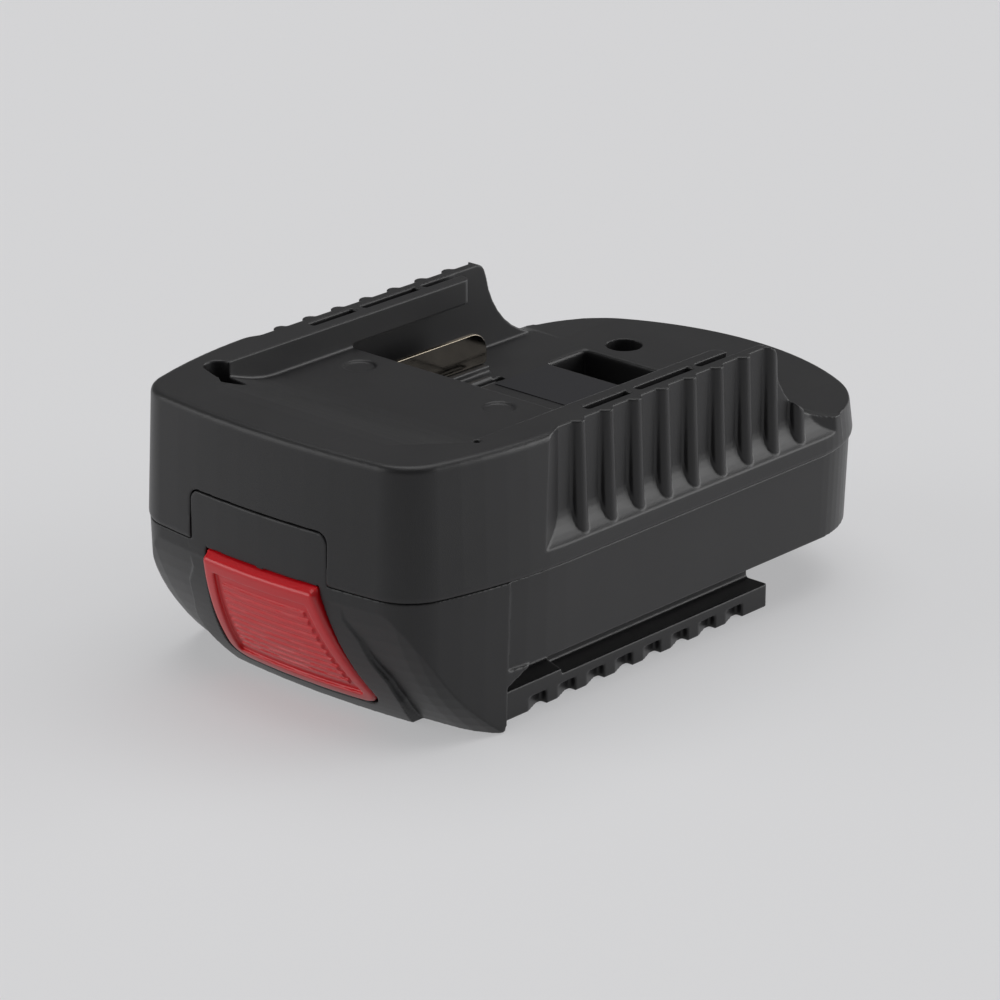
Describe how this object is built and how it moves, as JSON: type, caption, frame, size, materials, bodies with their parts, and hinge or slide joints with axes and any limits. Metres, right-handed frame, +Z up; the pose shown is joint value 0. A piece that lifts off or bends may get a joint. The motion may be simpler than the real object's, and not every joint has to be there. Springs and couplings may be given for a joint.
{
  "type": "tool battery adapter",
  "caption": "Slide-on battery adapter for a power tool: a railed receiver with contact blades on top, tool rails below, and a red push button that lifts a sprung latch.",
  "frame": {"origin": "centre of the bounding box in plan, at the underside of the tool rail lips", "axes": "+X to the right of someone who faces the release button, +Y from the release button to the rear deck, +Z up towards the battery rails"},
  "size_m": [0.077, 0.1354, 0.0525],
  "materials": {
    "shell": "fine-grained charcoal",
    "inner_plastic": "matt black",
    "button_red": "satin red",
    "nickel": "nickel-plated, bright",
    "steel": "zinc-plated",
    "board": "green solder mask",
    "ceramic": "pale ceramic",
    "sleeve": "glossy sleeve",
    "wire_red": "soft insulation",
    "wire_black": "soft insulation",
    "label": "matt blank label"
  },
  "bodies": {
    "housing": {"upper_housing": "shell", "lower_housing": "shell", "terminal_block": "inner_plastic", "plus_blade": "nickel", "minus_blade": "nickel", "thermistor_blade": "nickel", "data_blade": "nickel", "tool_contact_carrier": "inner_plastic", "tool_contact_plus": "nickel", "tool_contact_minus": "nickel", "tool_contact_thermistor": "nickel", "tool_contact_data": "nickel", "circuit_board": "board", "board_fuse": "ceramic", "board_chip": "inner_plastic", "board_capacitor": "sleeve", "plus_wire": "wire_red", "minus_wire": "wire_black", "latch_spring_left": "steel", "latch_spring_right": "steel", "latch_retainer": "inner_plastic", "retainer_screws": "steel", "board_screws": "steel", "rear_housing_screws": "steel", "front_housing_screws": "steel", "blank_label": "label"},
    "button": {"release_button": "button_red"},
    "latch": {"latch_hook": "inner_plastic"}
  },
  "joints": [
    {"name": "button_press", "type": "slide", "parent": "housing", "child": "button", "axis": [0, 0.866, 0.5], "range_m": [0, 0.0045], "stiffness_N_per_m": 600, "springref_m": -0.003},
    {"name": "latch_lift", "type": "slide", "parent": "housing", "child": "latch", "axis": [0, 0, 1], "range_m": [0, 0.0032], "stiffness_N_per_m": 500, "springref_m": -0.004, "deforming": ["latch_spring_left", "latch_spring_right"]}
  ],
  "couplings": [
    {"joint": "latch_lift", "follows": "button_press", "ratio": 0.7111}
  ]
}
